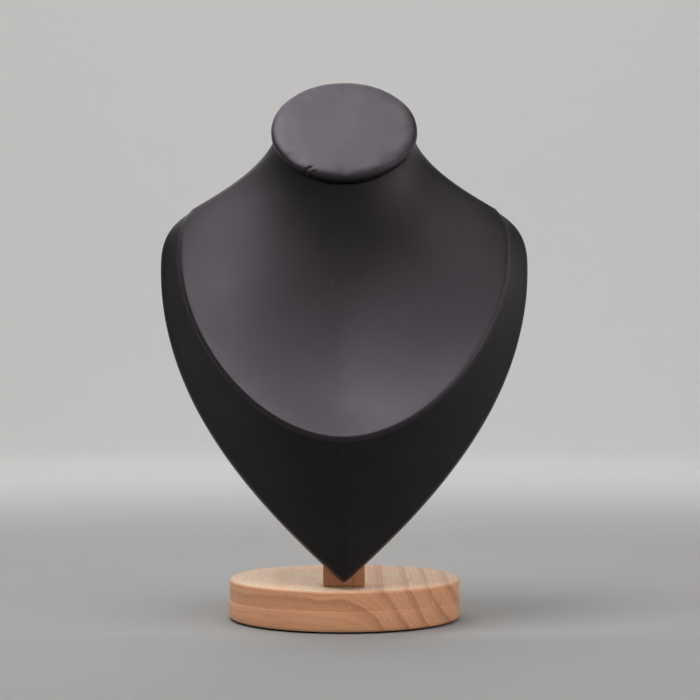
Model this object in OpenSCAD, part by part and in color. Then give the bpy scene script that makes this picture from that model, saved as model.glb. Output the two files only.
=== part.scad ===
// Neck-and-chest display bust: a leather-covered hollow form that lifts off
// a square-cut wooden post standing on a round wooden base.
// Origin: centre of the underside of the base.  +Z up, the front faces -Y.

/* [Base] */
// Diameter of the round base
base_d = 115; // [105:1:140]
// Thickness of the wooden disc
base_t = 19.4; // [16:0.2:26]
// Rounding of the disc's edges
base_round = 1.5; // [0.8:0.1:3]
// Thickness of the soft pad glued under the disc
pad_t = 0.8; // [0.6:0.1:2]

/* [Post] */
// Width of the post, side to side
post_w = 20; // [18:0.5:20]
// Depth of the post, front to back
post_d = 14; // [12:0.5:14]
// Front face of the post, in front of the middle of the base
post_front = 39; // [38:0.5:40]
// Height of the post above the base
post_h = 80; // [76:1:80]
// Clearance round the post in its socket, on each side
post_gap = 0.25; // [0.2:0.05:0.4]

/* [Bust] */
// Lean of the flat back from the vertical
recline = 20; // [18:1:22]
// Full width across the chest
chest_w = 184; // [175:1:190]
// Height of the widest line above the tip, along the back
widest_s = 164; // [160:1:168]
// Height of the shoulder ends above the tip, along the back
shoulder_s = 190.7; // [188:0.1:192]
// Distance of each shoulder end from the middle
shoulder_x = 77; // [74:0.5:78]
// Depth of the bust at the lowest point of the crease
crease_depth = 39.8; // [38:0.2:42]
// Height of the lowest point of the crease above the tip
crease_s = 60.9; // [58:0.5:64]

/* [Neck and cap] */
// Width of the padded cap
cap_w = 73.8; // [72:0.2:75]
// Length of the padded cap, front to back
cap_l = 65.4; // [64:0.2:67]
// Thickness of the padded cap
cap_t = 6.4; // [6:0.1:7.5]
// Overhang of the cap past the neck
cap_lip = 2.5; // [2:0.1:3]
// Tilt of the cap's face past the flat back's own lean
cap_tilt = 16; // [13:1:19]

/* [Skins] */
// Thickness of the leather
leather_t = 1; // [0.8:0.1:1.2]
// Wall of the moulded core
core_t = 3.5; // [3:0.1:4]
// Thickness of the back board
board_t = 4; // [3:0.5:4]

/* [Hidden] */

fit_gap = 0.05;          // glue line between pieces that lie on each other
base_top = pad_t + base_t;
post_y = post_d / 2 - post_front;
post_top = base_top + post_h;

// ---- frame of the bust ----------------------------------------------------
// s runs up the flat back from the tip, n stands out of it to the front.
tip_y = -47;             // foot of the flat back, below the tip
tip_z = 22.1;
half_w = chest_w / 2;
rim_n = 9;               // front of the edge round the shoulders and neck
edge_n = 6;              // lower edge of the skirt
edge_roll = 1.4;         // rounding of the rear edge
turn_in = 5;             // leather turned in on the back
board_n = leather_t + board_t;

function at(x, s, n) = [x, -n, s];
module reclined()
    translate([0, tip_y, tip_z]) rotate([-recline, 0, 0]) children();

// neck mouth: an oval in a plane tilted by cap_tilt
mouth_s = 222.6;
mouth_n = 27.8;
mouth_a = cap_w / 2 - cap_lip;
mouth_b = cap_l / 2 - cap_lip;
module on_mouth()
    reclined() translate(at(0, mouth_s, mouth_n)) rotate([90 - cap_tilt, 0, 0]) children();

// ---- curves ---------------------------------------------------------------
function bez(p, t) = let (u = 1 - t)
    u * u * u * p[0] + 3 * u * u * t * p[1] + 3 * u * t * t * p[2] + t * t * t * p[3];
function mix(a, b, t) = a + (b - a) * t;
function unit(v) = v / norm(v);

// steps along half the rim: crease, crease end, shoulder, back of the neck
CREASE = 18;
CREASE_END = 4;
SHOULDER = 7;
NAPE = 7;
OVER = CREASE + CREASE_END;
HALF = OVER + SHOULDER + NAPE;
COLS = 2 * HALF;

// outline of the back as [x, s], from the tip up to the middle of the nape
nape_s = 229;
low_line = [[0, 0], [0.54 * half_w, 45], [half_w, 97], [half_w, widest_s]];
high_line = [[half_w, widest_s], [half_w, widest_s + 13],
    [shoulder_x + 10, shoulder_s - 5.5], [shoulder_x, shoulder_s]];
shoulder_line = [[shoulder_x, shoulder_s], [shoulder_x - 12, shoulder_s + 6.5],
    [52, 204.3], [36, 213.6]];
nape_line = [[36, 213.6], [30, 217.4], [20, nape_s], [0, nape_s]];
function outline(k) =
    k <= CREASE ? bez(low_line, k / CREASE) :
    k <= OVER ? bez(high_line, (k - CREASE) / CREASE_END) :
    k <= OVER + SHOULDER ? bez(shoulder_line, (k - OVER) / SHOULDER) :
    bez(nape_line, (k - OVER - SHOULDER) / NAPE);

// the crease lies in a plane from its lowest point to the shoulder ends
crease_run = [shoulder_s - crease_s, rim_n - crease_depth];
crease_len = norm(crease_run);
crease_x = half_w - 10.8;
crease_low = [[0, 0], [41.5, 0], [crease_x, 58], [crease_x, 109]];
crease_high = [[crease_x, 109], [crease_x, 122],
    [shoulder_x + 2.6, crease_len - 5], [shoulder_x, crease_len]];
function crease(k) = let (
        p = k <= CREASE ? bez(crease_low, k / CREASE)
            : bez(crease_high, (k - CREASE) / CREASE_END),
        run = crease_run / crease_len * p[1])
    at(p[0], crease_s + run[0], crease_depth + run[1]);
function rim(k) = let (o = outline(k)) k <= OVER ? crease(k) : at(o[0], o[1], rim_n);
function edge(k) = let (o = outline(k)) at(o[0], o[1], edge_n);

// angle round the neck mouth, 0 at the throat and 180 at the nape
function turn(k) =
    k <= CREASE ? 58 * k / CREASE :
    k <= OVER ? mix(58, 74, (k - CREASE) / CREASE_END) :
    k <= OVER + SHOULDER ? mix(74, 112, (k - OVER) / SHOULDER) :
    mix(112, 180, (k - OVER - SHOULDER) / NAPE);
function mouth(phi, less = 0) = let (v = -(mouth_b - less) * cos(phi))
    at((mouth_a - less) * sin(phi), mouth_s + v * cos(cap_tilt), mouth_n - v * sin(cap_tilt));

// slope at which each line from rim to neck leaves the rim
flare_low = 25;
flare_side = -20;
flare_back = -42;
function flare(k) = k <= OVER ? mix(flare_low, flare_side, pow(k / OVER, 1.5))
    : mix(flare_side, flare_back, min(1, (k - OVER) / (SHOULDER - 2)));
neck_run = at(0, -0.88, -0.475);
function throat(k, t) = let (
        top = mouth(turn(k)),
        low = rim(k),
        reach = norm(top - low),
        aim = unit([top[0] - low[0], 0, top[2] - low[2]]),
        rise = aim * cos(flare(k)) + at(0, 0, -sin(flare(k))))
    bez([top, top + neck_run * 0.27 * reach, low + rise * 0.34 * reach, low], t);

// ---- grid of the outer surface: rings from the neck mouth to the back ----
BIB = 11;
SKIRT = 5;
EDGE = BIB + SKIRT;
LAST = EDGE + 3;
function mirrored(p, i) = i > HALF ? [-p[0], p[1], p[2]] : p;
function half_of(i) = i > HALF ? COLS - i : i;
function wrap(i) = (i + COLS) % COLS;
function bib_at(j, i) = let (k = half_of(wrap(i))) mirrored(throat(k, j / BIB), wrap(i));
function edge_at(i) = let (k = half_of(wrap(i))) mirrored(edge(k), wrap(i));
function rim_at(i) = bib_at(BIB, i);

// outline moved inward by d, with mitred corners, at depth n
function inset(i, d, n) = let (
        p = edge_at(i),
        a = unit(p - edge_at(i - 1)),
        b = unit(edge_at(i + 1) - p),
        in_a = [-a[2], 0, a[0]],
        in_m = unit(in_a + [-b[2], 0, b[0]]),
        q = p + in_m * d / (in_m * in_a))
    [q[0], -n, q[2]];

// outward normals of the bib and of the skirt
function bib_out(j, i) = unit(cross(
    bib_at(min(BIB, j + 1), i) - bib_at(max(0, j - 1), i),
    bib_at(j, i + 1) - bib_at(j, i - 1)));
function skirt_out(i) = unit(cross(
    edge_at(i) - rim_at(i),
    rim_at(i + 1) + edge_at(i + 1) - rim_at(i - 1) - edge_at(i - 1)));
function crease_in(i, d) = let (
        b = -bib_out(BIB, i),
        m = unit(b - skirt_out(i)))
    rim_at(i) + m * d / (m * b);

// the surface moved inward by d: rings up to the crease, then to the edge;
// the rings next to the neck mouth move in its plane, so the mouth stays flat
NECK = 5;
function mouth_in(i, d) = let (k = turn(half_of(wrap(i))))
    mirrored(mouth(k, 1.2 * d) - mouth(k), wrap(i));
function ring_point(j, i, d) =
    j < BIB ? bib_at(j, i) + mix(mouth_in(i, d), -d * bib_out(j, i), min(1, j / NECK)) :
    j == BIB ? crease_in(i, d) :
    mix(crease_in(i, d), inset(i, d, edge_n - d / 2), (j - BIB) / SKIRT);

// leather wraps the edge and is turned in on the back
function leather_point(j, i, d) =
    j <= EDGE ? ring_point(j, i, d) :
    j == EDGE + 1 ? inset(i, d, edge_roll) :
    j == EDGE + 2 ? inset(i, edge_roll, d) :
    inset(i, turn_in, d);

// ---- solids made from two grids -------------------------------------------
function in_grid(cells, i, j, last) = j >= 0 && j < last && cells(wrap(i), j);
module between(outer, inner, last, cells) {
    rows = last + 1;
    function id(j, i) = j * COLS + wrap(i);
    function under(p) = p + rows * COLS;
    function wall(p, q) = [[q, p, under(p)], [q, under(p), under(q)]];
    faces = [for (j = [0:last - 1]) for (i = [0:COLS - 1])
        if (in_grid(cells, i, j, last)) let (
            a = id(j, i), b = id(j, i + 1), c = id(j + 1, i + 1), d = id(j + 1, i))
        each concat(
            [[a, b, c], [a, c, d],
                [under(c), under(b), under(a)], [under(d), under(c), under(a)]],
            in_grid(cells, i, j - 1, last) ? [] : wall(a, b),
            in_grid(cells, i + 1, j, last) ? [] : wall(b, c),
            in_grid(cells, i, j + 1, last) ? [] : wall(c, d),
            in_grid(cells, i - 1, j, last) ? [] : wall(d, a))];
    polyhedron(
        points = concat(
            [for (j = [0:last]) for (i = [0:COLS - 1]) outer(j, i)],
            [for (j = [0:last]) for (i = [0:COLS - 1]) inner(j, i)]),
        faces = faces);
}
function over_top(i) = i >= OVER && i < COLS - OVER;

// countersunk wood screw, head up at z = 0, pointing down; ease makes its hole
hole_ease = 0.05;
module screw(d, length, head_d, ease = 0) {
    head_h = (head_d - d) / 2;
    rotate_extrude($fn = 32)
        polygon([[0, ease], [head_d / 2 + ease, ease], [d / 2 + ease, -head_h],
            [d / 2 + ease, -length + d], [0, -length - ease]]);
}

base_screw_d = 4;
base_screw_l = 36;
base_screw_head = 8;
base_screw_sink = 2;
base_screw_x = 5;
module at_base_screws()
    for (side = [-1, 1])
        translate([side * base_screw_x, post_y, pad_t + base_screw_sink])
            mirror([0, 0, 1]) children();

board_screw_d = 3;
board_screw_l = 16;
board_screw_head = 6;
board_screw_x = 15.2;
board_screw_s = [62, 82];
module at_board_screws()
    reclined() for (side = [-1, 1]) for (s = board_screw_s)
        translate(at(side * board_screw_x, s, leather_t + fit_gap)) rotate([-90, 0, 0])
            children();

cap_screw_d = 3;
cap_screw_l = 10.6;
cap_screw_head = 6;
cap_screw_x = 14;
cap_screw_v = -6;
plug_t = 8;
module at_cap_screws()
    on_mouth() for (side = [-1, 1])
        translate([side * cap_screw_x, cap_screw_v, -plug_t]) mirror([0, 0, 1]) children();

// straight way of the post through the back and into its block
module post_way(grow, top)
    translate([-post_w / 2 - grow, post_y - post_d / 2 - grow, base_top])
        cube([post_w + 2 * grow, post_d + 2 * grow, top - base_top]);

// ---- sub-parts --------------------------------------------------------------
module foot_pad()
    color("black") cylinder(h = pad_t, d = base_d - 6, $fn = 96);

module base_disc() {
    r = base_d / 2;
    c = base_round;
    color("burlywood") difference() {
        translate([0, 0, pad_t]) rotate_extrude($fn = 96) union() {
            square([r - c, base_t]);
            translate([0, c]) square([r, base_t - 2 * c]);
            translate([r - c, c]) circle(c, $fn = 32);
            translate([r - c, base_t - c]) circle(c, $fn = 32);
        }
        at_base_screws() screw(base_screw_d, base_screw_l, base_screw_head, hole_ease);
        at_base_screws() cylinder(h = base_screw_sink + 1, r = base_screw_head / 2 + hole_ease, $fn = 32);
    }
}

module base_screws()
    color("silver") at_base_screws() screw(base_screw_d, base_screw_l, base_screw_head);

module post()
    color("peru") difference() {
        translate([-post_w / 2, post_y - post_d / 2, base_top])
            cube([post_w, post_d, post_h]);
        at_base_screws() screw(base_screw_d, base_screw_l, base_screw_head, hole_ease);
    }

// hollow moulded form, open at the back and at the neck
module core_shell() {
    skin = leather_t + fit_gap;
    wall = skin + core_t;
    rear = board_n + fit_gap;
    last = EDGE + 1;
    // where the inner wall of the skirt meets the back board
    foot = function (i) let (
            c = unit(rim_at(i) - edge_at(i)),
            m = skirt_out(i),
            p = edge_at(i) - wall * m,
            run = (p[1] + rear) / -c[1])
        [(p + c * run)[0], -rear, (p + c * run)[2]];
    color("dimgray") reclined() between(
        function (j, i) j <= EDGE ? ring_point(j, i, skin) : inset(i, skin, rear),
        function (j, i) j <= BIB ? ring_point(j, i, wall)
            : mix(crease_in(i, wall), foot(i), (j - BIB) / (last - BIB)),
        last, function (i, j) true);
}

// flat plate of the back's outline moved in by d, from depth low to high
module back_plate(d, low, high) {
    pts = [for (i = [0:COLS - 1]) let (p = inset(i, d, 0)) [p[0], p[2]]];
    translate([0, -low, 0]) rotate([90, 0, 0]) linear_extrude(height = high - low) polygon(pts);
}

module back_board()
    color("tan") difference() {
        reclined() back_plate(edge_roll + fit_gap, leather_t + fit_gap, board_n);
        post_way(post_gap, post_top + 40);
        at_board_screws() screw(board_screw_d, board_screw_l, board_screw_head, hole_ease);
    }

module board_screws()
    color("silver") at_board_screws() screw(board_screw_d, board_screw_l, board_screw_head);

// hardwood block behind the chest that the post stands up into
block_w = 40;
block_s = [56, 88];
block_n = 23.5;
module socket_block()
    color("tan") difference() {
        reclined() translate([-block_w / 2, -block_n, block_s[0]])
            cube([block_w, block_n - board_n - fit_gap, block_s[1] - block_s[0]]);
        post_way(post_gap, post_top + post_gap);
        at_board_screws() screw(board_screw_d, board_screw_l, board_screw_head, hole_ease);
    }

// tapered oval plug in the neck mouth, sloping down with the neck; each ring
// is [half width, half length, middle, height]
plug_rings = [[27, 19.7, -4.4, -fit_gap], [24, 16.7, -11.5, -plug_t]];
module neck_plug() {
    sides = 48;
    pts = [for (r = plug_rings) for (i = [0:sides - 1]) let (t = 360 * i / sides)
        [r[0] * cos(t), r[2] + r[1] * sin(t), r[3]]];
    faces = concat(
        [[for (i = [0:sides - 1]) sides - 1 - i], [for (i = [0:sides - 1]) sides + i]],
        [for (i = [0:sides - 1]) let (n = (i + 1) % sides)
            [i, n, n + sides, i + sides]]);
    color("tan") difference() {
        on_mouth() polyhedron(points = pts, faces = faces);
        at_cap_screws() screw(cap_screw_d, cap_screw_l, cap_screw_head, hole_ease);
    }
}

module bib_cover()
    color([0.13, 0.12, 0.13]) reclined() between(
        function (j, i) leather_point(j, i, 0),
        function (j, i) leather_point(j, i, leather_t),
        LAST, function (i, j) j < BIB || over_top(i));

module skirt_cover()
    color([0.08, 0.07, 0.08]) reclined() between(
        function (j, i) leather_point(j, i, 0),
        function (j, i) leather_point(j, i, leather_t),
        LAST, function (i, j) j >= BIB && !over_top(i));

module back_cover()
    color([0.1, 0.1, 0.1]) difference() {
        reclined() back_plate(3, -0.8 - fit_gap, -fit_gap);
        post_way(post_gap + 0.4, post_top + 40);
    }

// ---- cap: a padded oval; profiles are [distance inside the rim, height] ------
OVAL = 64;
cap_board_low = leather_t + fit_gap;
cap_board_t = 2.4;
cap_board_less = 3.8;
foam_low = cap_board_low + cap_board_t + fit_gap;
cap_skin = [[11, 0], [3.4, 0], [1.1, 0.35], [0.25, 1.2], [0, 2.4], [0.1, cap_t - 2.7],
    [0.6, cap_t - 1.5], [1.5, cap_t - 0.75], [3.2, cap_t - 0.35], [8, cap_t - 0.15],
    [18, cap_t - 0.05]];
cap_lining = [[11, 1], [3.6, 1], [1.9, 1.25], [1.2, 1.75], [1, 2.5], [1.1, cap_t - 2.85],
    [1.5, cap_t - 2.1], [2.2, cap_t - 1.65], [3.5, cap_t - 1.35], [8.2, cap_t - 1.15],
    [18, cap_t - 1.05]];
function reversed(list) = [for (i = [len(list) - 1:-1:0]) list[i]];

// closed oval form: rings along a profile that starts and ends on the axis
module oval_loft(start, profile, end) {
    rings = len(profile);
    pts = concat(
        [for (p = profile) for (i = [0:OVAL - 1]) let (t = 360 * i / OVAL)
            [(cap_w / 2 - p[0]) * cos(t), (cap_l / 2 - p[0]) * sin(t), p[1]]],
        [[0, 0, start], [0, 0, end]]);
    function id(j, i) = j * OVAL + i % OVAL;
    first = rings * OVAL;
    top = first + 1;
    sides = [for (j = [0:rings - 2]) for (i = [0:OVAL - 1])
        each [[id(j, i), id(j + 1, i), id(j + 1, i + 1)],
            [id(j, i), id(j + 1, i + 1), id(j, i + 1)]]];
    ends = [for (i = [0:OVAL - 1])
        each [[first, id(0, i), id(0, i + 1)],
            [id(rings - 1, i + 1), id(rings - 1, i), top]]];
    polyhedron(points = pts, faces = concat(sides, ends));
}

module cap_board()
    color("tan") difference() {
        on_mouth() translate([0, 0, cap_board_low]) linear_extrude(height = cap_board_t)
            polygon([for (i = [0:OVAL - 1]) let (t = 360 * i / OVAL)
                [(cap_w / 2 - cap_board_less) * cos(t), (cap_l / 2 - cap_board_less) * sin(t)]]);
        at_cap_screws() screw(cap_screw_d, cap_screw_l, cap_screw_head, hole_ease);
    }

module cap_screws()
    color("silver") at_cap_screws() screw(cap_screw_d, cap_screw_l, cap_screw_head);

module cap_foam() {
    top = [for (p = cap_lining) if (p[1] > foam_low + 0.3) [p[0] + fit_gap, p[1] - fit_gap]];
    color("gainsboro") on_mouth() oval_loft(foam_low,
        concat([[cap_board_less + 6, foam_low], [2, foam_low]], top), cap_t - 1.05);
}

module cap_cover()
    color([0.16, 0.15, 0.16]) on_mouth()
        oval_loft(cap_t - 1, concat(reversed(cap_lining), cap_skin), cap_t);

foot_pad();
base_disc();
base_screws();
post();
core_shell();
back_board();
board_screws();
socket_block();
neck_plug();
bib_cover();
skirt_cover();
back_cover();
cap_board();
cap_screws();
cap_foam();
cap_cover();
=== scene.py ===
"""Looks of the neck-and-chest display bust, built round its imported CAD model."""

import math

import bmesh
import bpy
import numpy as np
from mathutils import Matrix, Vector, noise


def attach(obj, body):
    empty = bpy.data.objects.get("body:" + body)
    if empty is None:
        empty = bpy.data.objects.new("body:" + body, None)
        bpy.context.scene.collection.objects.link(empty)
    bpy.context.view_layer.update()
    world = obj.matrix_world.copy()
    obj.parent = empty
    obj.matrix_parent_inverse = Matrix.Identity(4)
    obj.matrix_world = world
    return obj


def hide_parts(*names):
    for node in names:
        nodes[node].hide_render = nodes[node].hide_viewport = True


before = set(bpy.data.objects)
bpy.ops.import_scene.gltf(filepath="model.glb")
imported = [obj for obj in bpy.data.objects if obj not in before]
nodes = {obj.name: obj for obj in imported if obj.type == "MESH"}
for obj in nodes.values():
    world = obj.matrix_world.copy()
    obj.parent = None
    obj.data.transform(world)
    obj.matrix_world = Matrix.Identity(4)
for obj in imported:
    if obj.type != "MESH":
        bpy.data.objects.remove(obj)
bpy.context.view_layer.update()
MM = 0.001


# ---- measures of the bust, in millimetres, as in the CAD source ---------------
RECLINE = math.radians(20)
CAP_TILT = math.radians(16)
TIP_Y, TIP_Z = -47.0, 22.1
HALF_W, WIDEST_S = 92.0, 164.0
SHOULDER_X, SHOULDER_S = 77.0, 190.7
CREASE_DEPTH, CREASE_S = 39.8, 60.9
RIM_N, EDGE_N, EDGE_ROLL, TURN_IN = 9.0, 6.0, 1.4, 5.0
CAP_A, CAP_B, CAP_LIP = 36.9, 32.7, 2.5
MOUTH_S, MOUTH_N = 222.6, 27.8
MOUTH_A, MOUTH_B = CAP_A - CAP_LIP, CAP_B - CAP_LIP
NAPE_S = 229.0
LEATHER = 0.8
BASE_R, BASE_LOW, BASE_TOP, BASE_ROUND = 57.5, 0.8, 20.2, 1.5
POST_W, POST_D, POST_Y = 20.0, 14.0, -32.0


def from_bust(points):
    """Points given as (x, s, n) on the bust, in millimetres, in the row frame in metres."""
    x, s, n = np.asarray(points, float).T
    sin, cos = math.sin(RECLINE), math.cos(RECLINE)
    return np.stack([x, TIP_Y + s * sin - n * cos, TIP_Z + s * cos + n * sin], 1) * MM


def from_cap(points):
    """Points given as (x, v, h) on the cap, in millimetres, in the row frame in metres."""
    x, v, h = np.asarray(points, float).T
    sin, cos = math.sin(CAP_TILT), math.cos(CAP_TILT)
    return from_bust(np.stack([x, MOUTH_S + v * cos + h * sin, MOUTH_N - v * sin + h * cos], 1))


def bez(p, t):
    u = 1 - t
    return u**3 * p[0] + 3 * u * u * t * p[1] + 3 * u * t * t * p[2] + t**3 * p[3]


def mix(a, b, t):
    return a + (b - a) * t


def smooth(t):
    t = min(1.0, max(0.0, t))
    return t * t * (3 - 2 * t)


def unit(v):
    return v / np.linalg.norm(v)


def vec(*v):
    return np.array(v, float)


# ---- curves of the bust --------------------------------------------------------
CREASE_K, OVER_K, SHOULDER_K, HALF_K = 18, 22, 29, 36
LOW_LINE = [vec(0, 0), vec(0.54 * HALF_W, 45), vec(HALF_W, 97), vec(HALF_W, WIDEST_S)]
HIGH_LINE = [vec(HALF_W, WIDEST_S), vec(HALF_W, WIDEST_S + 13),
             vec(SHOULDER_X + 10, SHOULDER_S - 5.5), vec(SHOULDER_X, SHOULDER_S)]
SHOULDER_LINE = [vec(SHOULDER_X, SHOULDER_S), vec(SHOULDER_X - 12, SHOULDER_S + 6.5),
                 vec(52, 204.3), vec(36, 213.6)]
NAPE_LINE = [vec(36, 213.6), vec(30, 217.4), vec(20, NAPE_S), vec(0, NAPE_S)]
CREASE_RUN = vec(SHOULDER_S - CREASE_S, RIM_N - CREASE_DEPTH)
CREASE_LEN = np.linalg.norm(CREASE_RUN)
CREASE_X = HALF_W - 10.8
CREASE_LOW = [vec(0, 0), vec(41.5, 0), vec(CREASE_X, 58), vec(CREASE_X, 109)]
CREASE_HIGH = [vec(CREASE_X, 109), vec(CREASE_X, 122),
               vec(SHOULDER_X + 2.6, CREASE_LEN - 5), vec(SHOULDER_X, CREASE_LEN)]
TIP_SLOPE, TIP_ROUND = 0.906, 0.8


def outline(k):
    if k <= CREASE_K:
        x, s = bez(LOW_LINE, k / CREASE_K)
        return vec(x, s + TIP_SLOPE * (math.hypot(x, TIP_ROUND) - x))
    if k <= OVER_K:
        return bez(HIGH_LINE, (k - CREASE_K) / (OVER_K - CREASE_K))
    if k <= SHOULDER_K:
        return bez(SHOULDER_LINE, (k - OVER_K) / (SHOULDER_K - OVER_K))
    return bez(NAPE_LINE, (k - SHOULDER_K) / (HALF_K - SHOULDER_K))


def rim(k):
    if k > OVER_K:
        return vec(*outline(k), RIM_N)
    if k <= CREASE_K:
        p = bez(CREASE_LOW, k / CREASE_K)
    else:
        p = bez(CREASE_HIGH, (k - CREASE_K) / (OVER_K - CREASE_K))
    run = CREASE_RUN / CREASE_LEN * p[1]
    return vec(p[0], CREASE_S + run[0], CREASE_DEPTH + run[1])


def turn(k):
    return math.radians(np.interp(k, [0, CREASE_K, OVER_K, SHOULDER_K, HALF_K],
                                  [0, 58, 74, 112, 180]))


def mouth(phi):
    v = -MOUTH_B * math.cos(phi)
    return vec(MOUTH_A * math.sin(phi), MOUTH_S + v * math.cos(CAP_TILT),
               MOUTH_N - v * math.sin(CAP_TILT))


def throat(k):
    """Control points of the line from the neck's mouth to the rim."""
    top, low = mouth(turn(k)), rim(k)
    reach = np.linalg.norm(top - low)
    if k <= OVER_K:
        flare = math.radians(mix(25, -20, (k / OVER_K) ** 1.5))
    else:
        flare = math.radians(mix(-20, -42, min(1, (k - OVER_K) / (SHOULDER_K - OVER_K - 2))))
    aim = unit(vec(top[0] - low[0], top[1] - low[1], 0))
    rise = aim * math.cos(flare) + vec(0, 0, -math.sin(flare))
    return [top, top + vec(0, -0.88, -0.475) * 0.27 * reach, low + rise * 0.34 * reach, low]


# ---- grid of the leather's outer face -----------------------------------------
FINE = 4
HALF_COLS = HALF_K * FINE
COLS = 2 * HALF_COLS
OVER_COL = OVER_K * FINE
BIB_ROWS = 44
BEND_ROWS = 6
SEAM_STEPS = [-0.9, -0.45, -0.16, 0, 0.16, 0.45, 0.9]
SKIRT_ROWS = 20
RIM_BEND, EDGE_BEND = 1.3, 1.2


def outline_ring(d):
    """The outline of the back moved inward by d, as (x, s) for each column of one half."""
    ks = np.arange(-1, HALF_COLS + 2) / FINE
    pts = np.array([outline(abs(k)) * (1 if k >= 0 else vec(-1, 1)) if k <= HALF_K
                    else outline(2 * HALF_K - k) * vec(-1, 1) for k in ks])
    along = pts[2:] - pts[:-2]
    along /= np.linalg.norm(along, axis=1)[:, None]
    moved = pts[1:-1] + d * np.stack([-along[:, 1], along[:, 0]], 1)
    # past the middle line the two sides have met: they share the corner's point
    crossed = moved[:, 0] < 0
    if crossed[: HALF_COLS // 2].any():
        last = np.nonzero(crossed[: HALF_COLS // 2])[0].max()
        a, b = moved[last], moved[last + 1]
        corner = a + (b - a) * (-a[0] / (b[0] - a[0]))
        moved[: last + 1] = corner
    moved[:, 0] = np.maximum(moved[:, 0], 0)
    moved[0, 0] = moved[-1, 0] = 0
    return moved


def bend(a, corner, b, count):
    """Points after a, round the corner and to b."""
    ts = np.arange(1, count + 1) / count
    return [(1 - t) ** 2 * a + 2 * t * (1 - t) * corner + t * t * b for t in ts]


ROLL_RING, IN_RINGS = outline_ring(EDGE_ROLL), [outline_ring(d) for d in (2.6, 3.8, TURN_IN)]


def column(i):
    """One line of the outer face, from the neck's mouth over the crease to the back."""
    k = i / FINE
    c = throat(k)
    low, (ex, es) = c[3], outline(k)
    edge = vec(ex, es, EDGE_N)
    drop = np.linalg.norm(edge - low)
    down = (edge - low) / drop
    a = min(RIM_BEND, 0.36 * drop)
    t_last = 1 - a / np.linalg.norm(3 * (c[3] - c[2]))
    pts = [bez(c, t_last * j / BIB_ROWS) for j in range(BIB_ROWS + 1)]
    pts += bend(pts[-1], low, low + down * a, BEND_ROWS)
    stop = drop - min(EDGE_BEND, 0.2 * drop)
    seam = a + 0.3 * min(4, stop - a)
    step = 0.252 * min(4, stop - a)
    pts += [low + down * (seam + q * step) for q in SEAM_STEPS]
    start = seam + SEAM_STEPS[-1] * step
    pts += [low + down * mix(start, stop, j / SKIRT_ROWS) for j in range(1, SKIRT_ROWS + 1)]
    wall = vec(ex, es, EDGE_N - EDGE_BEND)
    pts += bend(pts[-1], edge, wall, 4)
    pts.append(vec(ex, es, (wall[2] + EDGE_ROLL) / 2))
    low_wall = vec(ex, es, EDGE_ROLL)
    pts.append(low_wall)
    pts += bend(low_wall, vec(ex, es, 0), vec(*ROLL_RING[i], 0), 4)
    pts += [vec(*ring[i], 0) for ring in IN_RINGS]
    return pts


half = np.array([column(i) for i in range(HALF_COLS + 1)])
grid = np.concatenate([half, half[-2:0:-1] * vec(-1, 1, 1)])  # columns, rows, (x, s, n)
ROWS = grid.shape[1]
CREASE_ROW = BIB_ROWS + BEND_ROWS // 2
SEAM_ROW = BIB_ROWS + BEND_ROWS + 1 + SEAM_STEPS.index(0)
EDGE_ROW = BIB_ROWS + BEND_ROWS + len(SEAM_STEPS) + SKIRT_ROWS + 2


def even_out(grid, rows, times):
    """Smooths the rows between the first and last of rows across the columns."""
    first, last = rows
    for _ in range(times):
        part = grid[:, first:last]
        part = (np.roll(part, 1, 0) + 2 * part + np.roll(part, -1, 0)) / 4
        t = np.linspace(0, 1, last - first)
        keep = np.minimum(1, 4 * np.minimum(t, 1 - t))[None, :, None]
        grid[:, first:last] = grid[:, first:last] * (1 - keep) + part * keep


even_out(grid, (0, BIB_ROWS + 1), 10)


def outward(outer):
    """Unit normals of a grid of (columns, rows) points, pointing out."""
    across = np.roll(outer, -1, 0) - np.roll(outer, 1, 0)
    along = np.empty_like(outer)
    along[:, 1:-1] = outer[:, 2:] - outer[:, :-2]
    along[:, 0] = outer[:, 1] - outer[:, 0]
    along[:, -1] = outer[:, -1] - outer[:, -2]
    n = np.cross(along, across)
    return n / np.maximum(np.linalg.norm(n, axis=2), 1e-12)[:, :, None]


def ripple(grid, amount, size, first, last):
    """Slow hollows and swells of hand-stretched leather over rows first to last."""
    out = outward(grid)
    for i in range(grid.shape[0]):
        span = np.linalg.norm(grid[i, last] - grid[i, first])
        for j in range(first, last):
            t = (j - first) / (last - first)
            fade = min(1, 5 * min(t, 1 - t)) * smooth((span - 3) / 15)
            swell = noise.noise(Vector(grid[i, j]) / size)
            grid[i, j] += out[i, j] * amount * fade * swell


ripple(grid, 0.42, 34.0, SEAM_ROW + 4, EDGE_ROW - 3)
ripple(grid, 0.22, 40.0, 6, BIB_ROWS)

outer = from_bust(grid.reshape(-1, 3)).reshape(grid.shape)


normals = outward(outer)
normals[:, -3:] = from_bust([(0, 0, -1)])[0] / MM - from_bust([(0, 0, 0)])[0] / MM


def mesh_object(name, points, faces, attribute=None):
    mesh = bpy.data.meshes.new(name)
    mesh.from_pydata([tuple(p) for p in points], [], faces)
    if attribute is not None:
        layer = mesh.attributes.new("wear", "FLOAT", "POINT")
        layer.data.foreach_set("value", np.asarray(attribute, np.float32))
    bm = bmesh.new()
    bm.from_mesh(mesh)
    bmesh.ops.remove_doubles(bm, verts=bm.verts, dist=2e-6)
    bmesh.ops.dissolve_degenerate(bm, edges=bm.edges, dist=1e-6)
    loose = [v for v in bm.verts if not v.link_faces]
    bmesh.ops.delete(bm, geom=loose, context="VERTS")
    bmesh.ops.recalc_face_normals(bm, faces=bm.faces)
    bm.to_mesh(mesh)
    bm.free()
    mesh.polygons.foreach_set("use_smooth", [True] * len(mesh.polygons))
    obj = bpy.data.objects.new(name, mesh)
    bpy.context.scene.collection.objects.link(obj)
    return obj


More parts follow.
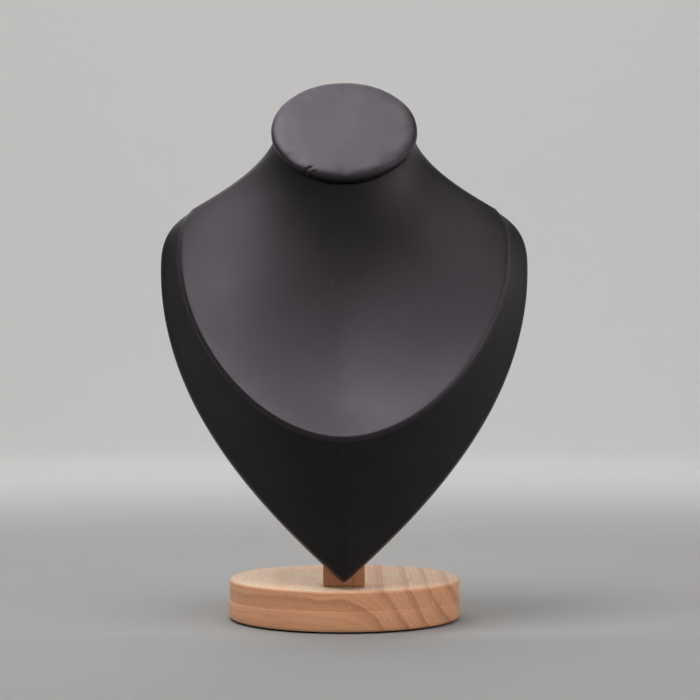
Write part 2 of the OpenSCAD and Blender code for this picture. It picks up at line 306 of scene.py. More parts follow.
def wear_and_highlight_at(j):
    """Rubbed look along the crease and round the edge, by row; along the crease the paler colour is
    also a painted highlight.
    """
    return max(math.exp(-((j - CREASE_ROW) / 2.6) ** 2),
               0.25 * math.exp(-((j - EDGE_ROW) / 2.4) ** 2))


def skin(name, cell):
    """A leather piece of the cells (column, row) for which cell is true, with a cut edge."""
    cut = 0.04 * MM
    shift = 0.015 * MM
    chosen = {(i, j) for i in range(COLS) for j in range(ROWS - 1) if cell(i, j)}
    points, wear, index = [], [], {}

    def corner(i, j, low):
        i %= COLS
        if (i, j, low) not in index:
            around = [((i - 1) % COLS, j - 1), (i, j - 1), ((i - 1) % COLS, j), (i, j)]
            inside = [c for c in around if c in chosen]
            p = outer[i, j].copy()
            on_cut = len(inside) < 4
            depth = LEATHER * MM if low else (cut if on_cut and 0 < j < ROWS - 1 else 0)
            if on_cut and 0 < j < ROWS - 1:
                # step back from the other piece
                middles = [(outer[(a + 1) % COLS, b + 1] + outer[a, b]) / 2 for a, b in inside]
                mid = np.mean(middles, 0)
                p += unit(mid - p) * shift
            index[i, j, low] = len(points)
            points.append(p - normals[i, j] * depth)
            wear.append(wear_and_highlight_at(j))
        return index[i, j, low]

    faces = []
    for i, j in sorted(chosen):
        a, b, c, d = (i, j), (i + 1, j), (i + 1, j + 1), (i, j + 1)
        faces.append([corner(*q, False) for q in (a, b, c, d)])
        faces.append([corner(*q, True) for q in (d, c, b, a)])
        for (di, dj), (p, q) in {(0, -1): (a, b), (1, 0): (b, c),
                                 (0, 1): (c, d), (-1, 0): (d, a)}.items():
            if ((i + di) % COLS, j + dj) not in chosen:
                faces.append([corner(*q, False), corner(*p, False),
                              corner(*p, True), corner(*q, True)])
    return mesh_object(name, points, faces, wear)


def over_top(i):
    return OVER_COL <= i < COLS - OVER_COL


bib = skin("bib_leather", lambda i, j: j < SEAM_ROW or over_top(i))
skirt = skin("skirt_leather", lambda i, j: j >= SEAM_ROW and not over_top(i))
for piece, node in ((bib, "bib_cover"), (skirt, "skirt_cover")):
    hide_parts(node)
    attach(piece, "bust")


# ---- leather over the back board ----------------------------------------------
def ring_faces(first, second, count):
    return [[first + i, first + (i + 1) % count, second + (i + 1) % count, second + i]
            for i in range(count)]


def full_ring(d, n):
    half_ring = outline_ring(d)
    both = np.concatenate([half_ring, half_ring[-2:0:-1] * vec(-1, 1)])
    return [vec(x, s, n) for x, s in both]


def rounded_slot(grow, n):
    """The post's slot in the back, with rounded corners, as (x, s, n)."""
    sin = math.sin(RECLINE)
    half_x = POST_W / 2 + grow
    low = (POST_Y - POST_D / 2 - grow - TIP_Y) / sin
    high = (POST_Y + POST_D / 2 + grow - TIP_Y) / sin
    r, steps, pts = 2.0, 6, []
    corners = ((half_x - r, low + r, -90), (half_x - r, high - r, 0),
               (-half_x + r, high - r, 90), (-half_x + r, low + r, 180))
    for cx, cs, start in corners:
        for q in range(steps + 1):
            a = math.radians(start + 90 * q / steps)
            pts.append(vec(cx + r * math.cos(a), cs + r * math.sin(a), n))
    return pts


def back_leather():
    top, low, sunk = -0.85, -0.08, 0.12
    rings = [full_ring(3.3, low), full_ring(3.05, low - 0.2), full_ring(3.0, top + 0.3),
             full_ring(3.12, top + 0.08), full_ring(3.4, top)]
    rings += [full_ring(d, top) for d in (3.9, 4.6)]
    rings += [full_ring(5 + 3.6 * q / 8, mix(top, sunk, smooth(q / 8))) for q in range(1, 9)]
    slot_rings = [rounded_slot(0.75 + g, mix(sunk, sunk + 0.8, h))
                  for g, h in ((0.5, 0), (0.12, 0.06), (0, 0.3), (0, 1))]
    under = [full_ring(9.2, sunk + 0.8), full_ring(5.0, low)]
    pts, faces = [], []
    for ring in rings:
        pts += ring
    for q in range(len(rings) - 1):
        faces += ring_faces(q * COLS, (q + 1) * COLS, COLS)
    inner = (len(rings) - 1) * COLS
    slot_start = len(pts)
    count = len(slot_rings[0])
    for ring in slot_rings:
        pts += ring
    for q in range(len(slot_rings) - 1):
        faces += ring_faces(slot_start + q * count, slot_start + (q + 1) * count, count)
    under_start = len(pts)
    for ring in under:
        pts += ring
    faces += ring_faces(0, under_start + COLS, COLS)
    faces += ring_faces(under_start + COLS, under_start, COLS)
    loops = [(list(range(inner, inner + COLS)), list(range(slot_start, slot_start + count))),
             (list(range(under_start, under_start + COLS)),
              list(range(slot_start + (len(slot_rings) - 1) * count,
                         slot_start + len(slot_rings) * count)))]
    return filled("back_leather", from_bust(pts), faces, loops)


def filled(name, points, faces, loops):
    """A mesh whose flat faces between nested loops of points are filled in."""
    bm = bmesh.new()
    verts = [bm.verts.new(p) for p in points]
    for f in faces:
        corners = [verts[q] for q in f]
        if len(set(corners)) > 2:
            bm.faces.new(corners)
    for group in loops:
        edges = []
        for loop in group:
            for q, a in enumerate(loop):
                pair = (verts[a], verts[loop[(q + 1) % len(loop)]])
                edges.append(bm.edges.get(pair) or bm.edges.new(pair))
        bmesh.ops.triangle_fill(bm, edges=edges, use_beauty=True)
    bm.verts.index_update()
    pts = [tuple(v.co) for v in bm.verts]
    all_faces = [[v.index for v in f.verts] for f in bm.faces]
    bm.free()
    return mesh_object(name, pts, all_faces)


back = back_leather()
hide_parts("back_cover")
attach(back, "bust")


# ---- padded cap ------------------------------------------------------------------
CAP_GRID = 96
TOP_PART = 0.56       # share of the flat sheet that lies on the cap's face
SIDE_PART = 0.86      # where the sheet passes under the edge
TOP_IN = 8.0
FACE_H = 6.2
EDGE_LINES = [  # (share of the way round the edge, curve of distance inside the rim and height)
    (0.42, [vec(TOP_IN, FACE_H), vec(4.6, FACE_H), vec(2.5, 6.15), vec(1.15, 5.55)]),
    (0.64, [vec(1.15, 5.55), vec(0.45, 5.25), vec(0, 4.6), vec(0, 3.6)]),
    (0.74, [vec(0, 3.6), vec(0, 3.2), vec(0, 2.8), vec(0, 2.4)]),
    (1.0, [vec(0, 2.4), vec(0, 0.9), vec(0.9, 0.05), vec(3.4, 0)])]
PUCKER = math.radians(-122)   # where the larger pucker is, round the edge
CAP_MEAN_R = 35.0


def cap_profile(q):
    """(distance inside the rim, height) round the edge, q from 0 on the face to 1 underneath."""
    start = 0.0
    for stop, line in EDGE_LINES:
        if q <= stop:
            return bez(line, (q - start) / (stop - start))
        start = stop
    return EDGE_LINES[-1][1][-1]


def cap_point(u, v):
    """A point of the cap's sheet, for a place in the square from -1 to 1."""
    x, y = u * math.sqrt(1 - v * v / 2), v * math.sqrt(1 - u * u / 2)
    r = math.hypot(x, y)
    cos, sin = (x / r, y / r) if r > 1e-9 else (0.0, 0.0)
    if r <= TOP_PART:
        f = r / TOP_PART
        return vec((CAP_A - TOP_IN) * f * cos, (CAP_B - TOP_IN) * f * sin,
                   FACE_H + 0.12 * (1 - f * f))
    if r <= SIDE_PART:
        d, h = cap_profile((r - TOP_PART) / (SIDE_PART - TOP_PART))
    else:
        d, h = mix(3.4, 11.0, (r - SIDE_PART) / (1 - SIDE_PART)), 0.0
    return vec((CAP_A - d) * cos, (CAP_B - d) * sin, h)


def sheet_grid(count):
    ts = [-1 + 2 * q / count for q in range(count + 1)]
    pts = np.array([cap_point(u, v) for v in ts for u in ts])
    n = count + 1
    faces = [[j * n + i, j * n + i + 1, (j + 1) * n + i + 1, (j + 1) * n + i]
             for j in range(count) for i in range(count)]
    rims = np.array([math.hypot(u * math.sqrt(1 - v * v / 2), v * math.sqrt(1 - u * u / 2))
                     for v in ts for u in ts])
    return pts, faces, rims


def inflate(pts, faces, pinned, most):
    """Swells the sheet with Blender's cloth, ten times life size, moving no point past most."""
    scale = 0.01
    mesh = bpy.data.meshes.new("swell")
    mesh.from_pydata([tuple(p * scale) for p in pts], [], faces)
    obj = bpy.data.objects.new("swell", mesh)
    bpy.context.scene.collection.objects.link(obj)
    group = obj.vertex_groups.new(name="pin")
    group.add([int(q) for q in np.nonzero(pinned)[0]], 1.0, "REPLACE")
    cloth = obj.modifiers.new("Cloth", "CLOTH")
    settings = cloth.settings
    settings.quality = 6
    settings.mass = 0.2
    settings.tension_stiffness = settings.compression_stiffness = 20
    settings.shear_stiffness = 8
    settings.bending_stiffness = 1.0
    settings.vertex_group_mass = "pin"
    settings.use_pressure = True
    settings.uniform_pressure_force = 4.0
    settings.effector_weights.gravity = 0
    cloth.collision_settings.use_collision = False
    cloth.point_cache.frame_start, cloth.point_cache.frame_end = 1, 20
    scene = bpy.context.scene
    for q in range(1, 21):
        scene.frame_set(q)
    found = obj.evaluated_get(bpy.context.evaluated_depsgraph_get()).to_mesh()
    co = np.empty(len(found.vertices) * 3)
    found.vertices.foreach_get("co", co)
    scene.frame_set(1)
    bpy.data.objects.remove(obj)
    bpy.data.meshes.remove(mesh)
    moved = co.reshape(-1, 3) / scale - pts
    far = np.linalg.norm(moved, axis=1)
    print("swell", round(float(far.max()), 2), "mm before the cap of", most)
    return pts + moved * (most * np.tanh(far / most) / np.maximum(far, 1e-9))[:, None]


def cap_outer():
    pts, faces, rims = sheet_grid(CAP_GRID)
    pts = inflate(pts, faces, rims > SIDE_PART - 0.02, 0.35)
    mesh = bpy.data.meshes.new("cap_sheet")
    mesh.from_pydata([tuple(p) for p in pts], [], faces)
    obj = bpy.data.objects.new("cap_sheet", mesh)
    bpy.context.scene.collection.objects.link(obj)
    obj.modifiers.new("Subdivision", "SUBSURF").levels = 1
    found = obj.evaluated_get(bpy.context.evaluated_depsgraph_get()).to_mesh()
    co = np.empty(len(found.vertices) * 3)
    found.vertices.foreach_get("co", co)
    fine = [list(p.vertices) for p in found.polygons]
    bpy.data.objects.remove(obj)
    bpy.data.meshes.remove(mesh)
    return co.reshape(-1, 3), fine


def gathers(pts):
    """Small tucks where the leather is pulled under the edge, and one larger pucker."""
    out = pts.copy()
    for q, (x, v, h) in enumerate(pts):
        a = math.atan2(v / CAP_B, x / CAP_A)
        inside = CAP_MEAN_R * (1 - math.hypot(x / CAP_A, v / CAP_B))
        outward = vec(math.cos(a), math.sin(a), 0)
        tuck = noise.noise(Vector((math.cos(a) * 8, math.sin(a) * 8, 2.0)))
        tuck += 0.6 * noise.noise(Vector((math.cos(a) * 19, math.sin(a) * 19, 5.0)))
        side = smooth(h / 0.9) * smooth((4.0 - h) / 3.0)
        out[q] -= outward * 0.35 * side * max(0.0, tuck + 0.1)
        if h < 0.9:
            out[q][2] += 0.3 * smooth(1.0 - h) * abs(tuck) * smooth((inside - 0.7) / 2.5)
        # the pucker at the lower left: a short slanting tuck with a roll of leather beside it
        along = CAP_MEAN_R * (a - PUCKER)
        up = smooth((h - 4.0) / 1.8)
        way = vec(0, 0, 1) * up + outward * (1 - up)
        line = along - 0.6 * inside
        reach = smooth((4.6 - inside) / 2.4) * smooth((h - 0.6) / 1.6)
        groove = math.exp(-((line / 1.0) ** 2))
        groove += 0.5 * math.exp(-(((line - 3.8) / 0.9) ** 2)) * smooth((3.0 - inside) / 2.0)
        roll = math.exp(-(((line - 1.8) / 0.9) ** 2))
        roll += 0.4 * math.exp(-(((line + 1.8) / 1.2) ** 2))
        out[q] += way * reach * (0.22 * roll - 0.55 * groove)
        # slow unevenness of the stuffing
        soft = noise.noise(Vector((x, v, 0)) / 17.0)
        out[q][2] += 0.1 * soft * smooth((h - 4.6) / 1.6)
    return out


def shell(name, pts, faces, depth, place):
    """A closed skin: the sheet, the sheet moved inward by depth, and a wall at its border."""
    pts = np.asarray(pts)
    normal = np.zeros_like(pts)
    quads = np.array(faces)
    n = np.cross(pts[quads[:, 2]] - pts[quads[:, 0]], pts[quads[:, 3]] - pts[quads[:, 1]])
    for q in range(4):
        np.add.at(normal, quads[:, q], n)
    normal /= np.linalg.norm(normal, axis=1)[:, None]
    low = pts - normal * depth(pts)[:, None]
    edges = {}
    for f in faces:
        for a, b in zip(f, f[1:] + f[:1]):
            key = (min(a, b), max(a, b))
            edges.setdefault(key, []).append((a, b))
    count = len(pts)
    made = [list(f) for f in faces] + [[q + count for q in reversed(f)] for f in faces]
    made += [[b, a, a + count, b + count] for (a, b), in
             (tuple(v) for v in edges.values() if len(v) == 1)]
    return mesh_object(name, place(np.concatenate([pts, low])), made)


sheet_pts, sheet_faces = cap_outer()
cap = shell("cap_leather_pad", gathers(sheet_pts), sheet_faces,
            lambda p: 0.5 + 0.4 * np.clip(p[:, 2] / 3, 0, 1), from_cap)
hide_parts("cap_cover")
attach(cap, "bust")


def foam_pad():
    """The crowned foam pad that lies on the cap's board, inside the leather."""
    low = 3.5
    rings = [(9.8, low), (4.0, low), (2.5, low + 0.1), (1.75, low + 0.4)]
    rings += [tuple(bez([vec(1.65, 4.1), vec(1.85, 4.65), vec(3.4, 4.95), vec(9.0, 5.05)], q / 6))
              for q in range(7)]
    rings += [(14, 5.1), (20, 5.15), (27, 5.2)]
    count, pts, faces = 96, [], []
    for d, h in rings:
        for i in range(count):
            a = 2 * math.pi * i / count
            dip = 0.12 * noise.noise(Vector((math.cos(a) * 3, math.sin(a) * 3, h)))
            # it gives way under the leather's pucker
            near = (a - PUCKER + math.pi) % (2 * math.pi) - math.pi
            dent = 0.75 * math.exp(-((CAP_MEAN_R * near - 1.0) / 2.6) ** 2)
            dent *= smooth((7.0 - d) / 3.0)
            dent *= smooth((h - low - 0.1) / 0.6)
            pts.append(((CAP_A - d - dip - dent * 0.4) * math.cos(a),
                        (CAP_B - d - dip - dent * 0.4) * math.sin(a), h - dent))
    for q in range(len(rings) - 1):
        faces += ring_faces(q * count, (q + 1) * count, count)
    first = (len(rings) - 1) * count
    pts += [(0, 0, low), (0, 0, 5.22)]
    for i in range(count):
        faces.append([(i + 1) % count, i, len(pts) - 2])
        faces.append([first + i, first + (i + 1) % count, len(pts) - 1])
    return mesh_object("cap_foam_pad", from_cap(pts), faces)


foam = foam_pad()
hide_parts("cap_foam")
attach(foam, "bust")


# ---- turned wooden disc --------------------------------------------------------
def wood_disc():
    """The disc was routed in two passes a hair out of line, which left a fine ledge."""
    count, cut_z, ledge = 256, 9.6, 0.38
    c = BASE_ROUND

    def radius(a, d, over):
        # the upper pass lies further in on the left and front
        lean = max(0.0, math.cos(a - math.radians(222)) * 0.8 + 0.2)
        return BASE_R - d - (ledge * lean ** 0.8 if over else 0)

    def cut_height(a):
        return cut_z + 0.9 * math.sin(a - math.radians(205))

    low, top = BASE_LOW, BASE_TOP
    arc = [math.radians(q * 15) for q in range(7)]
    profile = [(10, low, False)]
    profile += [(c - c * math.sin(q), low + c - c * math.cos(q), False) for q in arc]
    profile += [(0, None, False), (0.06, None, False), (0.02, None, True)]
    profile += [(c - c * math.cos(q), top - c + c * math.sin(q), True) for q in arc]
    profile += [(3.2, top, True), (12, top, True)]
    pts, faces, nth = [], [], 0
    for d, z, over in profile:
        if z is None:
            nth += 1
        for i in range(count):
            a = 2 * math.pi * i / count
            r = radius(a, d, over)
            h = z if z is not None else cut_height(a) + (-0.22, 0.0, 0.03)[nth - 1]
            pts.append((r * math.cos(a), r * math.sin(a), h))
    for q in range(len(profile) - 1):
        faces += ring_faces(q * count, (q + 1) * count, count)
    holes, sides = [], 24
    for x in (-5, 5):
        start = len(pts)
        for r, z in ((4.05, low), (4.05, low + 2), (2.05, low + 4), (2.05, top)):
            for i in range(sides):
                a = 2 * math.pi * i / sides
                pts.append((x + r * math.cos(a), POST_Y + r * math.sin(a), z))
        for q in range(3):
            faces += ring_faces(start + q * sides, start + (q + 1) * sides, sides)
        holes.append(start)
    last = (len(profile) - 1) * count
    loops = [[list(range(count))] + [list(range(h, h + sides)) for h in holes],
             [list(range(last, last + count))]
             + [list(range(h + 3 * sides, h + 4 * sides)) for h in holes]]
    obj = filled("wood_disc", [Vector(p) * MM for p in pts], faces, loops)
    mark_sharp(obj, 40)
    return obj


def mark_sharp(obj, degrees):
    """Smooth faces, with edges sharper than this kept crisp."""
    bm = bmesh.new()
    bm.from_mesh(obj.data)
    for e in bm.edges:
        e.smooth = e.calc_face_angle(0) < math.radians(degrees)
    bm.to_mesh(obj.data)
    bm.free()


disc = wood_disc()
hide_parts("base_disc")
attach(disc, "base")

# eased edges on the hard pieces that stay as the CAD made them
for name, width in (("post", 0.6), ("socket_block", 0.5), ("back_board", 0.3), ("cap_board", 0.4),
                    ("foot_pad", 0.3), ("neck_plug", 0.4)):
    obj = nodes[name]
    weld = obj.modifiers.new("Weld", "WELD")
    weld.merge_threshold = 1e-5
    ease = obj.modifiers.new("Ease", "BEVEL")
    ease.width = width * MM
    ease.segments = 3
    ease.limit_method = "ANGLE"
    ease.angle_limit = math.radians(40)
    ease.use_clamp_overlap = True
    shade = obj.modifiers.new("Shade", "WEIGHTED_NORMAL")
    shade.weight = 60


# ---- materials -----------------------------------------------------------------
class Mat:
    """A material whose nodes are added one call at a time."""

    def __init__(self, name, **shader):
        self.mat = bpy.data.materials.new(name)
        self.mat.use_nodes = True
        self.tree = self.mat.node_tree
        self.tree.nodes.clear()
        out = self.tree.nodes.new("ShaderNodeOutputMaterial")
        self.shader = self.tree.nodes.new("ShaderNodeBsdfPrincipled")
        self.tree.links.new(self.shader.outputs[0], out.inputs[0])
        for key, value in shader.items():
            self.set(self.shader, key.replace("_", " ").title().replace("Ior", "IOR"), value)
        self.place = self.add("TexCoord").outputs["Object"]

    def set(self, node, key, value):
        socket = node.inputs[key]
        if isinstance(value, bpy.types.NodeSocket):
            self.tree.links.new(value, socket)
        else:
            if hasattr(socket.default_value, "__len__") and len(value) == 3 \
                    and len(socket.default_value) == 4:
                value = (*value, 1)
            socket.default_value = value

    def add(self, kind, inputs=None, **props):
        node = self.tree.nodes.new("ShaderNode" + kind)
        for key, value in props.items():
            setattr(node, key, value)
        for key, value in (inputs or {}).items():
            self.set(node, key, value)
        return node

    def math(self, op, a, b=0.0, clamp=False):
        node = self.add("Math", {0: a, 1: b}, operation=op, use_clamp=clamp)
        return node.outputs[0]

    def scaled(self, x, y, z):
        return self.add("Mapping", {"Vector": self.place, "Scale": (x, y, z)}).outputs[0]

    def noise(self, scale, detail=2.0, rough=0.5, vector=None, distortion=0.0):
        return self.add("TexNoise", {"Vector": vector or self.place, "Scale": scale,
                                     "Detail": detail, "Roughness": rough,
                                     "Distortion": distortion}).outputs[0]

    def spread(self, value, low, high, to_low=0.0, to_high=1.0):
        return self.add("MapRange", {"Value": value, "From Min": low, "From Max": high,
                                     "To Min": to_low, "To Max": to_high},
                        interpolation_type="SMOOTHSTEP").outputs[0]

    def blend(self, fac, a, b, how="MIX"):
        node = self.add("Mix", data_type="RGBA", blend_type=how)
        self.set(node, "Factor", fac)
        for key, value in ((6, a), (7, b)):
            self.set(node, key, value)
        return node.outputs[2]

    def ramp(self, value, *stops):
        node = self.add("ValToRGB", {0: value})
        ramp = node.color_ramp
        while len(ramp.elements) < len(stops):
            ramp.elements.new(0.5)
        for element, (at, colour) in zip(ramp.elements, stops):
            element.position = at
            element.color = (*colour, 1)
        return node.outputs[0]

    def bump(self, height, strength, distance):
        node = self.add("Bump", {"Strength": strength, "Distance": distance, "Height": height})
        self.set(self.shader, "Normal", node.outputs[0])

    def on(self, *objs):
        for obj in objs:
            obj.data.materials.clear()
            obj.data.materials.append(self.mat)


def leather(name, dark, pale, rough, sheen, gloss):
    """Fine-grained matt leatherette: pebbles about 0.7 mm across, dust, rubbed edges, and a painted
    highlight along the crease.
    """
    m = Mat(name, roughness=rough, specular_tint=(1.0, 0.87, 1.0), specular_ior_level=gloss,
            sheen_weight=sheen, sheen_roughness=0.45, sheen_tint=(0.75, 0.72, 0.8))
    wobble = m.add("VectorMath", {0: m.place, 1: m.add("VectorMath", {
        0: m.add("TexNoise", {"Vector": m.place, "Scale": 420.0, "Detail": 1.0}).outputs[1],
        "Scale": 0.0009}, operation="SCALE").outputs[0]}, operation="ADD").outputs[0]
    cells = m.add("TexVoronoi", {"Vector": wobble, "Scale": 1350.0}, feature="DISTANCE_TO_EDGE")
    pebble = m.spread(cells.outputs[0], 0.0, 0.16)
    fine = m.noise(4200.0, 2.0, 0.6)
    height = m.math("ADD", m.math("MULTIPLY", pebble, 0.7), m.math("MULTIPLY", fine, 0.5))
    m.bump(height, 0.35, 0.00007)
    # dust: a small pale speck in a few of the cells
    dust = m.add("TexVoronoi", {"Vector": m.place, "Scale": 170.0}, feature="F1")
    spot = m.spread(dust.outputs["Distance"], 0.045, 0.02)
    chance = m.add("SeparateColor", {0: dust.outputs["Color"]}).outputs[0]
    pick = m.math("GREATER_THAN", chance, 0.86)
    lint = m.math("MULTIPLY", spot, m.math("MULTIPLY", pick, 0.55))
    cloudy = m.noise(34.0, 3.0, 0.55)
    colour = m.blend(m.spread(cloudy, 0.3, 0.7), dark, pale)
    colour = m.blend(m.math("MULTIPLY", m.math("SUBTRACT", 1.0, pebble), 0.35), colour,
                     tuple(c * 0.55 for c in dark))
    # mask of the crease and edge: rubbed wear, and the place of a painted highlight along the
    # crease
    wear = m.add("Attribute", attribute_name="wear").outputs["Fac"]
    rubbed_and_highlight = m.math("MULTIPLY", wear, m.spread(m.noise(160.0, 3.0), 0.25, 0.75, 0.25, 1.0))
    # painted highlight: the crease is painted paler here, and the edge a little paler as rubbed
    # wear; the roughness drop below is the wear
    colour = m.blend(m.math("MULTIPLY", rubbed_and_highlight, 0.55), colour, tuple(c * 2.6 for c in pale))
    colour = m.blend(lint, colour, (0.26, 0.25, 0.25))
    m.set(m.shader, "Base Color", colour)
    uneven = m.spread(m.noise(22.0, 4.0, 0.6), 0.3, 0.7, rough - 0.045, rough + 0.045)
    m.set(m.shader, "Roughness", m.math("SUBTRACT", uneven, m.math("MULTIPLY", rubbed_and_highlight, 0.1)))
    return m


BLACK, SOFT_BLACK = (0.0045, 0.0042, 0.0048), (0.0085, 0.0078, 0.0088)
leather("bust_leather", BLACK, SOFT_BLACK, 0.42, 0.01, 0.53).on(bib)
leather("skirt_leather", BLACK, SOFT_BLACK, 0.42, 0.01, 0.33).on(skirt)
leather("back_leather", BLACK, SOFT_BLACK, 0.44, 0.01, 0.5).on(back)
leather("cap_leather", (0.0055, 0.005, 0.0058), (0.0105, 0.0096, 0.0108), 0.42, 0.02, 0.62).on(cap)


def disc_grain(m):
    """(fibre, field): fibres run front to back; the rings lie flat on the left and dive right."""
    x, _, z = m.add("SeparateXYZ", {0: m.place}).outputs
    fibre = m.scaled(1.0, 0.06, 1.0)
    bend_x, bend_w, fall = 0.012, 0.005, 1.62
    reach = m.math("DIVIDE", m.math("SUBTRACT", x, bend_x), bend_w)
    grown = m.math("ADD", m.math("EXPONENT", m.math("MINIMUM", reach, 30.0)), 1.0)
    dive = m.math("MULTIPLY", m.math("LOGARITHM", grown, math.e), bend_w * fall)
    return fibre, m.math("ADD", z, dive)


def post_grain(m):
    """(fibre, field): fibres run up the piece; the rings cross it front to back at a slant."""
    x, y, _ = m.add("SeparateXYZ", {0: m.place}).outputs
    return m.scaled(1.0, 1.0, 0.05), m.math("ADD", x, m.math("MULTIPLY", y, 0.45))


def wood(name, grain, spacing, side, face, ring, strength, end_grain, rough):
    """Plain-sawn pale wood. Its rings are one bent field, with pores along the grain."""
    m = Mat(name, roughness=rough, specular_ior_level=0.42)
    fibre, field = grain(m)
    bent = m.noise(38.0, 2.0, 0.5, vector=fibre)
    field = m.math("ADD", field, m.math("MULTIPLY", m.math("SUBTRACT", bent, 0.5), 0.010))
    wave = m.math("FRACT", m.math("DIVIDE", field, spacing))
    # a ring darkens slowly and stops short
    late = m.math("MULTIPLY", m.spread(wave, 0.45, 0.93), m.spread(wave, 1.0, 0.94))
    fine_wave = m.math("FRACT", m.math("DIVIDE", field, spacing * 0.23))
    fine_ring = m.math("MULTIPLY", m.spread(fine_wave, 0.4, 0.9), m.spread(fine_wave, 1.0, 0.9))
    streak = m.noise(900.0, 3.0, 0.6, vector=fibre)
    blotch = m.noise(26.0, 3.0, 0.5)
    up = m.add("SeparateXYZ", {0: m.add("NewGeometry").outputs["True Normal"]}).outputs[2]
    colour = m.blend(m.spread(m.math("ABSOLUTE", up), 0.55, 0.95), side, face)
    colour = m.blend(m.spread(blotch, 0.3, 0.72, 0.0, 0.45), colour,
                     tuple(c * q for c, q in zip(side, (0.86, 0.74, 0.66))))
    fade = m.spread(m.noise(30.0, 2.0, 0.5, vector=fibre), 0.3, 0.6, 0.35, 1.0)
    colour = m.blend(m.math("MULTIPLY", m.math("MULTIPLY", late, fade), strength), colour, ring)
    colour = m.blend(m.math("MULTIPLY", fine_ring, 0.16), colour, ring)
    colour = m.blend(m.spread(streak, 0.52, 0.74, 0.0, 0.34), colour,
                     tuple(c * 0.62 for c in side))
    colour = m.blend(m.spread(streak, 0.46, 0.3, 0.0, 0.22), colour,
                     tuple(min(1, c * 1.25) for c in face))
    pores = m.add("TexVoronoi", {"Vector": m.scaled(*end_grain), "Scale": 1500.0}, feature="F1")
    dots = m.spread(pores.outputs["Distance"], 0.22, 0.1)
    colour = m.blend(m.math("MULTIPLY", dots, 0.28), colour, tuple(c * 0.45 for c in ring))
    m.set(m.shader, "Base Color", colour)
    m.set(m.shader, "Roughness", m.spread(streak, 0.2, 0.8, rough - 0.06, rough + 0.1))
    ridges = m.math("SUBTRACT", m.math("MULTIPLY", late, 0.4), m.math("MULTIPLY", dots, 0.5))
    m.bump(m.math("ADD", m.math("MULTIPLY", streak, 0.6), ridges), 0.3, 0.00012)
    return m


DISC_SIDE, DISC_FACE, DISC_RING = (0.95, 0.48, 0.25), (0.80, 0.60, 0.41), (0.52, 0.19, 0.08)
POST_SIDE, POST_RING = (0.83, 0.41, 0.215), (0.52, 0.20, 0.085)
BLOCK_SIDE, BLOCK_RING = (0.58, 0.40, 0.22), (0.42, 0.24, 0.11)
wood("base_wood", disc_grain, 0.0170, DISC_SIDE, DISC_FACE, DISC_RING, 0.62,
     (1.0, 0.12, 1.0), 0.46).on(disc)
wood("post_wood", post_grain, 0.0062, POST_SIDE, POST_SIDE, POST_RING, 0.5,
     (1.0, 1.0, 0.12), 0.5).on(nodes["post"])
wood("block_wood", post_grain, 0.0045, BLOCK_SIDE, BLOCK_SIDE, BLOCK_RING, 0.5,
     (1.0, 1.0, 0.15), 0.62).on(nodes["socket_block"], nodes["neck_plug"])


def fibreboard():
    m = Mat("fibreboard", roughness=0.8, specular_ior_level=0.3)
    hair = m.noise(1500.0, 4.0, 0.7, vector=m.scaled(1.0, 0.4, 0.6))
    cloud = m.noise(60.0, 3.0, 0.55)
    colour = m.ramp(hair, (0.3, (0.30, 0.19, 0.11)), (0.55, (0.47, 0.32, 0.19)),
                    (0.8, (0.56, 0.40, 0.25)))
    colour = m.blend(m.spread(cloud, 0.3, 0.7, 0.0, 0.3), colour, (0.36, 0.24, 0.14))
    m.set(m.shader, "Base Color", colour)
    m.set(m.shader, "Roughness", m.spread(hair, 0.2, 0.8, 0.72, 0.9))
    m.bump(hair, 0.4, 0.0002)
    return m


def steel():
    m = Mat("zinc_steel", metallic=1.0, roughness=0.34)
    turned = m.noise(2600.0, 3.0, 0.6, vector=m.scaled(1.0, 1.0, 0.1))
    spangle = m.noise(500.0, 3.0, 0.6)
    m.set(m.shader, "Base Color",
          m.ramp(spangle, (0.3, (0.50, 0.51, 0.53)), (0.7, (0.66, 0.66, 0.65))))
    m.set(m.shader, "Roughness", m.spread(turned, 0.2, 0.8, 0.26, 0.46))
    m.bump(turned, 0.2, 0.00005)
    return m


def moulded():
    m = Mat("moulded_core", roughness=0.62, specular_ior_level=0.4)
    grit = m.noise(900.0, 4.0, 0.65)
    cloud = m.noise(40.0, 3.0, 0.5)
    m.set(m.shader, "Base Color",
          m.ramp(cloud, (0.3, (0.030, 0.030, 0.032)), (0.7, (0.05, 0.05, 0.053))))
    m.set(m.shader, "Roughness", m.spread(grit, 0.2, 0.8, 0.52, 0.72))
    m.bump(grit, 0.3, 0.0002)
    return m


def cellular(name, low, high, cell, strength):
    m = Mat(name, roughness=0.85, specular_ior_level=0.3)
    bubbles = m.add("TexVoronoi", {"Vector": m.place, "Scale": cell}, feature="F1")
    m.set(m.shader, "Base Color", m.ramp(bubbles.outputs["Distance"], (0.1, low), (0.6, high)))
    m.set(m.shader, "Roughness", m.spread(m.noise(300.0), 0.3, 0.7, 0.78, 0.92))
    m.bump(bubbles.outputs["Distance"], strength, 0.0003)
    return m


fibreboard().on(nodes["back_board"], nodes["cap_board"])
steel().on(nodes["base_screws"], nodes["board_screws"], nodes["cap_screws"])
moulded().on(nodes["core_shell"])
cellular("foam_pad", (0.50, 0.48, 0.42), (0.78, 0.76, 0.68), 1100.0, 0.6).on(foam)
cellular("foot_pad", (0.010, 0.010, 0.010), (0.032, 0.031, 0.03), 1600.0, 0.5).on(nodes["foot_pad"])


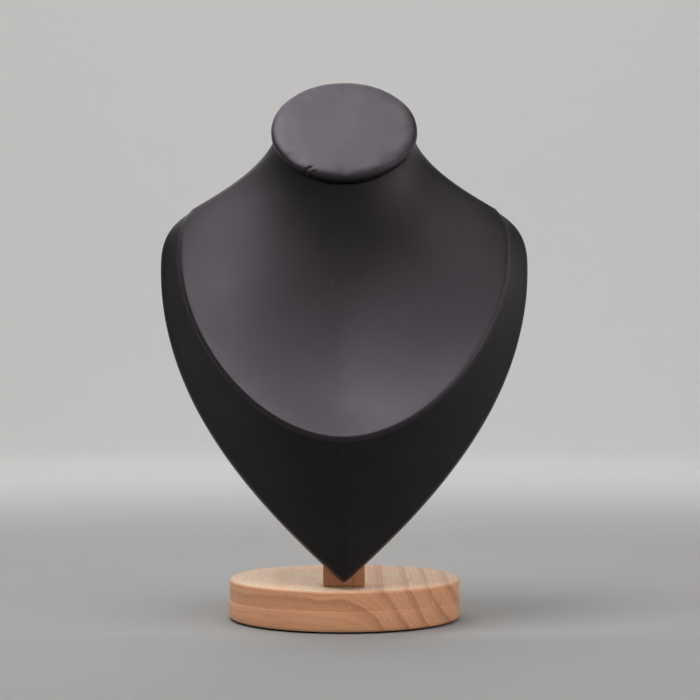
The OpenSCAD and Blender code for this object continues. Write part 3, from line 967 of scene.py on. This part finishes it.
# ---- floor, backdrop, light and camera ----------------------------------------------
def cove():
    """A plain floor that curves up into a round wall far behind and around the object."""
    flat, bend_r, tall = 1.5, 0.9, 2.2
    profile = [(0.0, 0.0), (0.3, 0.0), (1.0, 0.0), (flat, 0.0)]
    profile += [(flat + bend_r * math.sin(a), bend_r * (1 - math.cos(a)))
                for a in [math.radians(q * 7.5) for q in range(1, 13)]]
    profile.append((flat + bend_r, tall))
    count, pts, faces = 96, [(0, 0, 0)], []
    for r, z in profile[1:]:
        for i in range(count):
            a = 2 * math.pi * i / count
            pts.append((r * math.cos(a), r * math.sin(a), z))
    faces += [[0, 1 + i, 1 + (i + 1) % count] for i in range(count)]
    for q in range(len(profile) - 2):
        faces += ring_faces(1 + q * count, 1 + (q + 1) * count, count)
    return mesh_object("floor", pts, faces)


def floor_paint():
    """Pale grey by the object, and paler with distance from it."""
    m = Mat("floor_paint", roughness=0.75, specular_ior_level=0.2)
    away = m.add("VectorMath", {0: m.place}, operation="LENGTH").outputs["Value"]
    near = m.ramp(m.noise(3.0), (0.3, (0.31, 0.305, 0.30)), (0.7, (0.33, 0.325, 0.32)))
    m.set(m.shader, "Base Color", m.blend(m.spread(away, 0.35, 1.5), near, (0.85, 0.84, 0.83)))
    return m


floor = cove()
floor_paint().on(floor)


def softbox(name, place, aim, size, watts):
    light = bpy.data.lights.new(name, "AREA")
    light.shape = "RECTANGLE"
    light.size, light.size_y = size
    light.energy = watts
    obj = bpy.data.objects.new(name, light)
    bpy.context.scene.collection.objects.link(obj)
    obj.location = place
    obj.rotation_euler = (Vector(aim) - Vector(place)).to_track_quat("-Z", "Y").to_euler()


AIM = (0.0, 0.0, 0.13)
REACH, HEART = 1.1, 0.12  # distance of each lamp, and the height that it is measured from
for name, turn_deg, rise_deg, size, watts in (
        ("key", -45, 65, (0.6, 0.6), 7.0),
        ("top", 0, 85, (0.6, 0.6), 2.3),
        ("high_right", 42, 60, (0.6, 0.6), 1.5),
        ("low_right", 60, 20, (1.1, 0.5), 2.6),
        ("rear", 180, 45, (0.6, 0.6), 2.1),
        ("rear_left", -135, 50, (0.6, 0.6), 2.0),
        ("rear_right", 120, 25, (0.6, 0.6), 0.6)):
    a, e = math.radians(turn_deg), math.radians(rise_deg)
    place = (REACH * math.sin(a) * math.cos(e), -REACH * math.cos(a) * math.cos(e),
             HEART + REACH * math.sin(e))
    softbox(name, place, AIM, size, watts)
softbox("backdrop", (0.0, 0.75, 1.75), (0.0, 2.35, 0.3), (1.6, 0.4), 14.0)

world = bpy.data.worlds.new("World")
world.use_nodes = True
world.node_tree.nodes["Background"].inputs[0].default_value = (0.75, 0.77, 0.8, 1)
world.node_tree.nodes["Background"].inputs[1].default_value = 0.02
bpy.context.scene.world = world
bpy.context.scene.view_settings.view_transform = "Standard"
bpy.context.scene.view_settings.look = "None"

lens = bpy.data.cameras.new("camera")
lens.lens = 98.3
lens.sensor_width = 36.0
lens.clip_start, lens.clip_end = 0.02, 50.0
camera = bpy.data.objects.new("camera", lens)
bpy.context.scene.collection.objects.link(camera)
camera.location = (0.0029, -0.955, 0.1336)
camera.rotation_euler = (math.radians(90), 0, 0)
bpy.context.scene.camera = camera
